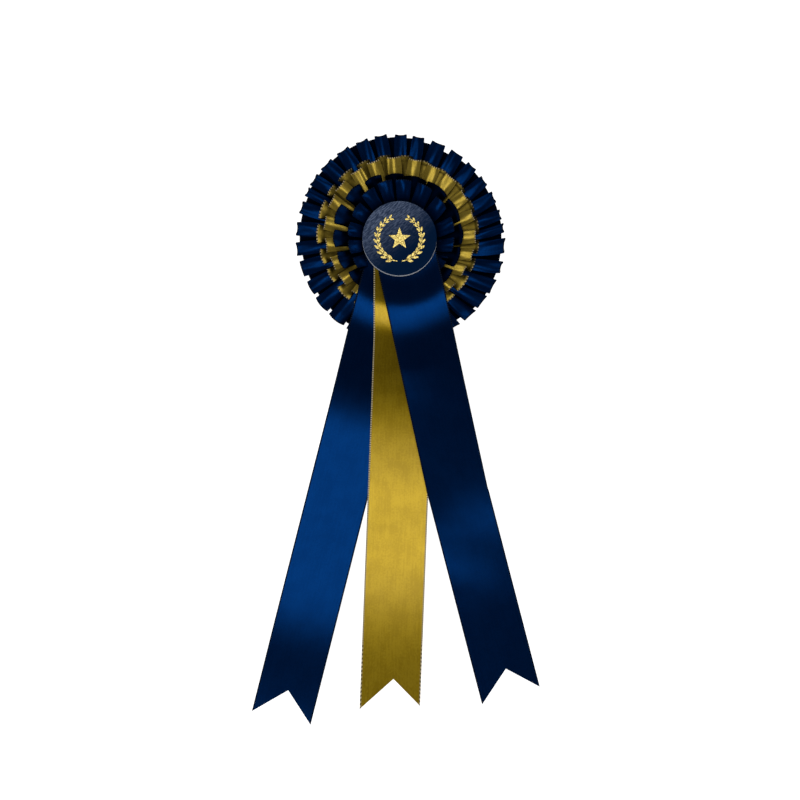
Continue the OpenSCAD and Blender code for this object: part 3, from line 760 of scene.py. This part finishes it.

# %% [markdown]
# ## The covered disc
#
# A disc of white board covered with dark grained cloth closes the middle. The covering
# is as large as the board and sits slightly high, so a thin pale edge of board shows
# along the bottom. Its grain is noise stretched along a slanting line, and a painted
# sheen, paler towards the upper left, is mixed in there in place of a reflected light.

# %% Finishes of the disc
GRAIN = (1 / 380, 1 / 1500, 1 / 900)
GRAIN_HEADING = math.radians(38)
GRAIN_DEPTH, GRAIN_STRENGTH = 0.12 * MM, 0.6
# These numbers shape a painted sheen: a paler colour towards the upper left, broken up by the grain.
SHEEN_EAST, SHEEN_PATCHES, SHEEN_FROM, SHEEN_TO = 0.75, 6 * MM, -12 * MM, 30 * MM
SHEEN_SPECKS, SHEEN_EVEN = 0.75, 0.2
FIBRE_DEPTH, BRIGHT_FIBRES, BRIGHT_CLOUDS = 0.03 * MM, 0.6, 0.4


def grained(name):
    finish = Finish(name)
    place = finish.place_on_object()
    turned = finish.add(
        "ShaderNodeMapping", {"vector_type": "TEXTURE"}, place, Rotation=(0, 0, GRAIN_HEADING), Scale=GRAIN
    )
    grain = finish.noise(turned, 1.0, 4.0, Roughness=0.6)
    patches = finish.noise(place, 60.0, 2.0)
    east, north = finish.part_of(place, "X"), finish.part_of(place, "Y")
    # Painted sheen: the pale colour is mixed in towards the upper left in place of a reflected light.
    painted_sheen = (north - east * SHEEN_EAST + patches * SHEEN_PATCHES).ramp(SHEEN_FROM, SHEEN_TO)
    speck = grain.ramp(0.38, 0.66) * SHEEN_SPECKS + SHEEN_EVEN
    finish.set(
        Base_Color=finish.blend(painted_sheen * speck, rgb(7, 31, 62), rgb(108, 122, 150)),
        Roughness=0.45,
        Specular_IOR_Level=0.0,
    )
    finish.bump(grain, GRAIN_DEPTH, GRAIN_STRENGTH)
    return finish.owner


def paper(name, light, dark, fibre=900.0):
    finish = Finish(name)
    place = finish.place_on_object()
    fibres = finish.noise(place, fibre, 5.0, Roughness=0.65)
    tone = (fibres * BRIGHT_FIBRES + finish.noise(place, 45.0, 2.0) * BRIGHT_CLOUDS).ramp(0.35, 0.65)
    finish.set(Base_Color=finish.blend(tone, dark, light), Roughness=0.85)
    finish.bump(fibres, FIBRE_DEPTH)
    return finish.owner


cover_finish = grained("grained covering")
board_finish = paper("white board", rgb(184, 188, 198), rgb(152, 157, 168))
card_finish = paper("backing card", rgb(226, 222, 212), rgb(206, 200, 188), 500.0)
print("finishes so far:", len(bpy.data.materials))

# %% Model the board and its covering
CENTRE_SHIFT = Vector((-0.6, -1.8, 0)) * MM
BOARD_SIZE, COVER_SIZE, COVER_RISE = 0.977, 0.99, 0.3 * MM
BOARD_EDGE, COVER_EDGE = 0.15 * MM, 0.25 * MM
RIM_VERTICES, LEVEL = 160, 0.001 * MM


def disc(name, node, edge, size):
    """A flat disc in a node's place, a little off the middle, with its two rims bevelled."""
    low, high = (Vector(c) + CENTRE_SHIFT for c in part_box(node))
    deselect_all()
    bpy.ops.mesh.primitive_cylinder_add(
        vertices=RIM_VERTICES, radius=size * (high.x - low.x) / 2,
        depth=high.z - low.z, location=(low + high) / 2,
    )
    piece = bpy.context.object
    piece.name = name
    place_in_mesh(piece)
    bpy.ops.object.mode_set(mode="EDIT")
    bpy.ops.mesh.select_all(action="DESELECT")
    bpy.ops.object.mode_set(mode="OBJECT")
    for rim in piece.data.edges:
        a, b = (piece.data.vertices[v].co.z for v in rim.vertices)
        rim.select = abs(a - b) < LEVEL
    bpy.ops.object.mode_set(mode="EDIT")
    bpy.ops.mesh.bevel(offset=edge, segments=3, affect="EDGES")
    bpy.ops.object.mode_set(mode="OBJECT")
    return piece


board = disc("centre_board_disc", "centre_board", BOARD_EDGE, BOARD_SIZE)
cover = disc("centre_cover_cloth", "centre_cover", COVER_EDGE, COVER_SIZE)
cover.data.transform(Matrix.Translation((0, COVER_RISE, 0)))
finish_piece(board, board_finish, "white_board", "centre_board")
finish_piece(cover, cover_finish, "grained_cover", "centre_cover")

# %% [markdown]
# ## The gold badge on the disc
#
# The middle carries a design in gold, a plain laurel wreath round a star. It is cut
# from thin foil that stands a little proud. A single leaf is modelled, and the wreath
# is made of copies of it, each with its own mesh.

# %% Gold foil
FLECK_DEPTH = 0.02 * MM


def foil(name):
    finish = Finish(name)
    flecks = finish.noise(finish.place_on_object(), 1400.0, 3.0)
    colour = finish.blend(flecks.ramp(0.38, 0.62), rgb(124, 102, 44), rgb(220, 200, 118))
    finish.set(Base_Color=colour, Metallic=0.85, Roughness=0.42)
    finish.bump(flecks, FLECK_DEPTH)
    return finish.owner


foil_finish = foil("gold foil")
print("made the finish", foil_finish.name)

# %% One leaf
FOIL_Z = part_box("centre_cover")[1][2]
FOIL_T = 0.12 * MM
BADGE_PLACE = CENTRE_SHIFT + Vector((0, COVER_RISE, FOIL_Z))


def foil_plate(name, outline):
    """A thin plate whose outline is a list of points on the disc, in mm."""
    deselect_all()
    bpy.ops.mesh.primitive_circle_add(vertices=len(outline), radius=MM, fill_type="NGON")
    piece = bpy.context.object
    piece.name = name
    for vertex, (x, y) in zip(piece.data.vertices, outline):
        vertex.co = (x * MM, y * MM, 0)
    bpy.ops.object.mode_set(mode="EDIT")
    bpy.ops.mesh.select_all(action="SELECT")
    bpy.ops.mesh.extrude_region_move(TRANSFORM_OT_translate={"value": (0, 0, FOIL_T)})
    bpy.ops.mesh.select_all(action="SELECT")
    bpy.ops.mesh.normals_make_consistent(inside=False)
    bpy.ops.object.mode_set(mode="OBJECT")
    return piece


LEAF_LENGTH, LEAF_WIDTH, LEAF_ROUND = 4.6, 1.7, 0.8
LEAF_SHARES = (0.12, 0.3, 0.5, 0.7, 0.88)
leaf_side = [
    (LEAF_LENGTH * s, LEAF_WIDTH / 2 * math.sin(math.pi * s) ** LEAF_ROUND) for s in LEAF_SHARES
]
leaf = foil_plate("leaf", [(0, 0)] + [(x, -y) for x, y in leaf_side] + [(LEAF_LENGTH, 0)] + leaf_side[::-1])
print("one leaf has", triangles(leaf), "triangles")

# %% Two branches of leaves
WREATH_R, LEAVES = 14.2, 10
LOWEST_LEAF, HIGHEST_LEAF, LAST_LEAF_SIZE = -72, 62, 0.72
LEAF_LEANS = (-28, 32)


def on_ring(r, angle):
    """The point of a ring at an angle from +X in degrees."""
    a = math.radians(angle)
    return r * math.cos(a), r * math.sin(a)


wreath_parts = []
for side in (-1, 1):
    for share in np.arange(LEAVES) / (LEAVES - 1):
        bearing, size = lerp(LOWEST_LEAF, HIGHEST_LEAF, share), lerp(1.0, LAST_LEAF_SIZE, share)
        for lean in LEAF_LEANS:
            copy = leaf.copy()
            copy.data = leaf.data.copy()
            bpy.context.scene.collection.objects.link(copy)
            x, y = on_ring(WREATH_R * MM, bearing)
            place = (
                Matrix.Translation((x, y, 0))
                @ Matrix.Rotation(math.radians(bearing + 90 + lean), 4, "Z")
                @ Matrix.Diagonal((size, size, 1, 1))
            )
            copy.data.transform(Matrix.Diagonal((side, 1, 1, 1)) @ place)
            if side < 0:
                copy.data.flip_normals()
            wreath_parts.append(copy)
bpy.data.objects.remove(leaf)
print("leaves in the wreath:", len(wreath_parts))

# %% The stems and the star
STEM_HALF, STEM_FROM, STEM_TO, STEM_POINTS = 0.28, -84, 66, 31
STAR_R, STAR_WAIST, STAR_TURN, STAR_TOP = 7.2, 3.0, 36, 90
stem_angles = np.linspace(STEM_FROM, STEM_TO, STEM_POINTS)
outline = [on_ring(WREATH_R + STEM_HALF, a) for a in stem_angles]
outline += [on_ring(WREATH_R - STEM_HALF, a) for a in stem_angles[::-1]]
wreath_parts.append(foil_plate("stem", [(-x, y) for x, y in outline][::-1]))
wreath_parts.append(foil_plate("stem", outline))
star_reach = [STAR_WAIST, STAR_R] * 5
star = foil_plate("star", [on_ring(r, STAR_TOP + STAR_TURN * k) for k, r in enumerate(star_reach, start=1)])
wreath_parts.append(star)

select_only(star, *wreath_parts)
bpy.ops.object.join()
badge = bpy.context.object
badge.name = "centre_badge_foil"
badge.data.transform(Matrix.Translation(BADGE_PLACE))
finish_piece(badge, foil_finish, "gold_satin")

# %% [markdown]
# ## The back
#
# The card and the brooch bar keep the construction model's shapes. They only need
# better finishes: fibrous card, and bright plated steel with fine brush marks.

# %% Card and bar
BRUSH_SCALE, BRUSH_DEPTH = (120, 4000, 2500), 0.01 * MM
STEEL = (0.62, 0.62, 0.63, 1)


def plated_steel(name):
    finish = Finish(name)
    drawn = finish.add("ShaderNodeMapping", None, finish.place_on_object(), Scale=BRUSH_SCALE)
    marks = finish.noise(drawn, 1.0, 3.0)
    finish.set(Base_Color=STEEL, Metallic=1.0, Roughness=marks * 0.2 + 0.2)
    finish.bump(marks, BRUSH_DEPTH)
    return finish.owner


def repaint(node, material):
    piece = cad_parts[node]
    piece.data.materials.clear()
    piece.data.materials.append(material)
    print(node, "now has the finish", material.name)


repaint("backing_card", card_finish)
repaint("brooch_bar", plated_steel("plated steel"))

# %% [markdown]
# ## Table, light and camera
#
# The photograph looks straight down on the rosette. A broad soft light hangs overhead,
# a little to the left, so that level satin mirrors it and shines, while cloth that
# slopes mirrors the dim ceiling beside it and stays dark. That contrast is what draws
# the pleats. The room's walls are pale, so satin that is seen from the side has
# something to mirror too. The table also gives off light of its own, so it stays white.

# %% The table
GLOW = 0.8
TABLE_SIZE = 6


def pale_floor(name):
    finish = Finish(name)
    clouds = finish.noise(finish.place_on_object(), 6.0, 3.0)
    finish.set(
        Base_Color=finish.blend(clouds, rgb(250, 250, 250), rgb(247, 247, 248)),
        Roughness=0.9,
        Emission_Color=WHITE,
        Emission_Strength=GLOW,
    )
    return finish.owner


deselect_all()
bpy.ops.mesh.primitive_plane_add(size=TABLE_SIZE, location=(0, 0, 0))
floor = bpy.context.object
floor.name = "table"
floor.data.materials.append(pale_floor("pale table"))
print("the table is", TABLE_SIZE, "m wide")

# %% The softbox
def soft_light(name, aim, bearing, elevation, distance, size, power):
    """A softbox at a bearing from +X and an elevation, both in degrees, turned to its aim."""
    b, e = math.radians(bearing), math.radians(elevation)
    direction = Vector((math.cos(b) * math.cos(e), math.sin(b) * math.cos(e), math.sin(e)))
    data = bpy.data.lights.new(name, "AREA")
    data.shape, data.size, data.size_y, data.energy = "RECTANGLE", *size, power
    lamp = bpy.data.objects.new(name, data)
    lamp.location = Vector(aim) + direction * distance
    lamp.rotation_euler = direction.to_track_quat("Z", "Y").to_euler()
    bpy.context.scene.collection.objects.link(lamp)
    print(name, "hangs at", [round(v, 2) for v in lamp.location])


soft_light(
    "overhead softbox", aim=(0, -0.05, 0), bearing=170, elevation=87, distance=3.6,
    size=(1.3, 1.15), power=36,
)

# %% The room
CEILING, WALLS = 0.22, 1.3
WALLS_END, CEILING_FROM = 0.15, 0.5
room = Finish("soft room", "worlds", "Background")
up = room.part_of(room.add("ShaderNodeTexCoord", output="Generated"), "Z")
room.set(Color=WHITE, Strength=up.ramp(WALLS_END, CEILING_FROM) * (CEILING - WALLS) + WALLS)
bpy.context.scene.world = room.owner
print("strength of the walls and the ceiling:", WALLS, CEILING)

# %% The camera
FRAME_WIDTH = 512 * MM
CAMERA_PLACE = Vector((-0.3 * MM, -103.7 * MM, 2.0))
SENSOR = 36
camera_data = bpy.data.cameras.new("camera")
camera_data.sensor_width = SENSOR
camera_data.lens = SENSOR * CAMERA_PLACE.z / FRAME_WIDTH
camera = bpy.data.objects.new("camera", camera_data)
camera.location = CAMERA_PLACE
bpy.context.scene.collection.objects.link(camera)
bpy.context.scene.camera = camera
bpy.context.scene.view_settings.view_transform = "Standard"
print("lens in mm:", round(camera_data.lens, 1))
